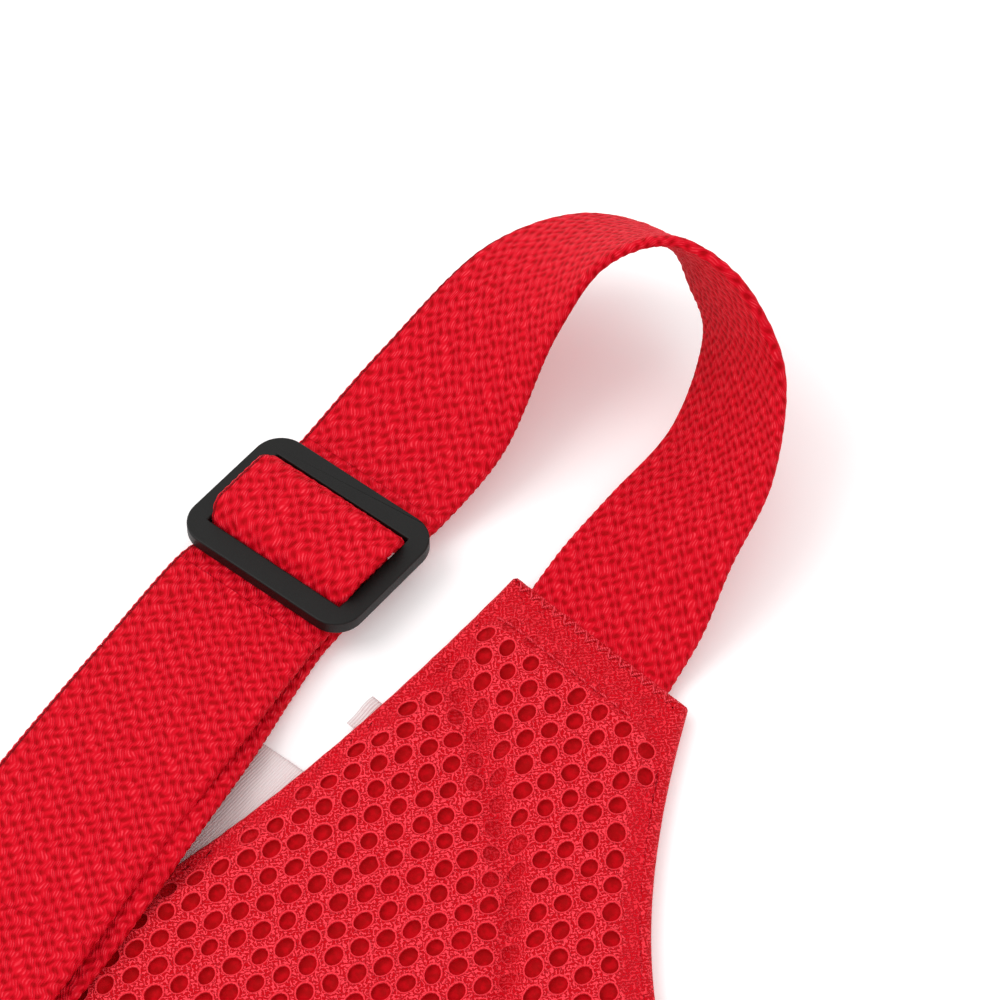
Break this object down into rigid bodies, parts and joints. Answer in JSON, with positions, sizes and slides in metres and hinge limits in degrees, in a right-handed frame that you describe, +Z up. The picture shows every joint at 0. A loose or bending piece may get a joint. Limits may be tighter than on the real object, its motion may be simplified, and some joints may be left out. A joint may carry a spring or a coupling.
{
  "type": "safety harness vest",
  "caption": "Padded mesh harness vest with adjustable webbing shoulder straps, a waist belt with side-release buckles and a tether ring at the back of the neck.",
  "frame": {"origin": "middle of the vest's box, on the table that it lies on", "axes": "+Z up from the table, +Y towards the wearer's head, +X to the wearer's left as the vest lies on its back seen from above"},
  "size_m": [0.3344, 0.369, 0.0442],
  "materials": {
    "webbing": "coarse red cotton-feel webbing, thick basket weave",
    "spacer_mesh": "red knitted spacer mesh with round holes",
    "shell_fabric": "red plain-weave outer fabric",
    "foam": "thin foam padding, sewn in",
    "black_plastic": "black moulded acetal, satin",
    "steel": "welded steel wire, polished",
    "satin": "white ribbed satin ribbon, blank"
  },
  "bodies": {
    "vest": {"back_outer_shell": "shell_fabric", "back_inner_mesh": "spacer_mesh", "back_neck_pad": "foam", "back_upper_pad": "foam", "back_lower_pad": "foam", "back_belt": "webbing", "care_label": "satin", "size_label": "satin", "haul_loop": "webbing", "front_inner_mesh": "spacer_mesh", "front_pad": "foam", "front_outer_shell": "shell_fabric", "front_belt": "webbing", "shoulder_strap_left": "webbing", "shoulder_strap_right": "webbing", "ring_tab_left": "webbing", "ring_tab_right": "webbing", "buckle_housing_left": "black_plastic", "buckle_housing_right": "black_plastic", "side_belt_left": "webbing", "side_belt_right": "webbing"},
    "tether_ring": {"tether_ring": "steel"},
    "tri_glide_left": {"tri_glide_left": "black_plastic"},
    "strap_ring_left": {"strap_ring_left": "black_plastic"},
    "buckle_plug_left": {"buckle_plug_left": "black_plastic"},
    "latch_arm_upper_left": {"latch_arm_upper_left": "black_plastic"},
    "latch_arm_lower_left": {"latch_arm_lower_left": "black_plastic"},
    "tri_glide_right": {"tri_glide_right": "black_plastic"},
    "strap_ring_right": {"strap_ring_right": "black_plastic"},
    "buckle_plug_right": {"buckle_plug_right": "black_plastic"},
    "latch_arm_upper_right": {"latch_arm_upper_right": "black_plastic"},
    "latch_arm_lower_right": {"latch_arm_lower_right": "black_plastic"}
  },
  "joints": [
    {"name": "tether_ring_swing", "type": "hinge", "parent": "vest", "child": "tether_ring", "pos_m": [0, 0.05655, 0.00335], "axis": [1, 0, 0], "range_deg": [0, 150]},
    {"name": "tri_glide_left_slide", "type": "slide", "parent": "vest", "child": "tri_glide_left", "axis": [0.0399, -0.998, 0.0499], "range_m": [-0.01, 0.025], "deforming": ["shoulder_strap_left"]},
    {"name": "strap_ring_left_swing", "type": "hinge", "parent": "vest", "child": "strap_ring_left", "pos_m": [-0.11789, -0.05434, 0.0122], "axis": [0.9563, 0.2924, 0], "range_deg": [-4, 40]},
    {"name": "buckle_plug_left_slide", "type": "slide", "parent": "vest", "child": "buckle_plug_left", "axis": [-1, 0, 0], "range_m": [0, 0.03], "deforming": ["side_belt_left"]},
    {"name": "latch_arm_upper_left_flex", "type": "hinge", "parent": "buckle_plug_left", "child": "latch_arm_upper_left", "pos_m": [-0.131, -0.12745, 0.0202], "axis": [0, 0, -1], "range_deg": [0, 8], "stiffness_Nm_per_rad": 0.5},
    {"name": "latch_arm_lower_left_flex", "type": "hinge", "parent": "buckle_plug_left", "child": "latch_arm_lower_left", "pos_m": [-0.131, -0.15345, 0.0202], "axis": [0, 0, 1], "range_deg": [0, 8], "stiffness_Nm_per_rad": 0.5},
    {"name": "tri_glide_right_slide", "type": "slide", "parent": "vest", "child": "tri_glide_right", "axis": [-0.0399, -0.998, 0.0499], "range_m": [-0.01, 0.025], "deforming": ["shoulder_strap_right"]},
    {"name": "strap_ring_right_swing", "type": "hinge", "parent": "vest", "child": "strap_ring_right", "pos_m": [0.11789, -0.05434, 0.0122], "axis": [0.9563, -0.2924, 0], "range_deg": [-4, 40]},
    {"name": "buckle_plug_right_slide", "type": "slide", "parent": "vest", "child": "buckle_plug_right", "axis": [1, 0, 0], "range_m": [0, 0.03], "deforming": ["side_belt_right"]},
    {"name": "latch_arm_upper_right_flex", "type": "hinge", "parent": "buckle_plug_right", "child": "latch_arm_upper_right", "pos_m": [0.131, -0.12745, 0.0202], "axis": [0, 0, 1], "range_deg": [0, 8], "stiffness_Nm_per_rad": 0.5},
    {"name": "latch_arm_lower_right_flex", "type": "hinge", "parent": "buckle_plug_right", "child": "latch_arm_lower_right", "pos_m": [0.131, -0.15345, 0.0202], "axis": [0, 0, -1], "range_deg": [0, 8], "stiffness_Nm_per_rad": 0.5}
  ]
}
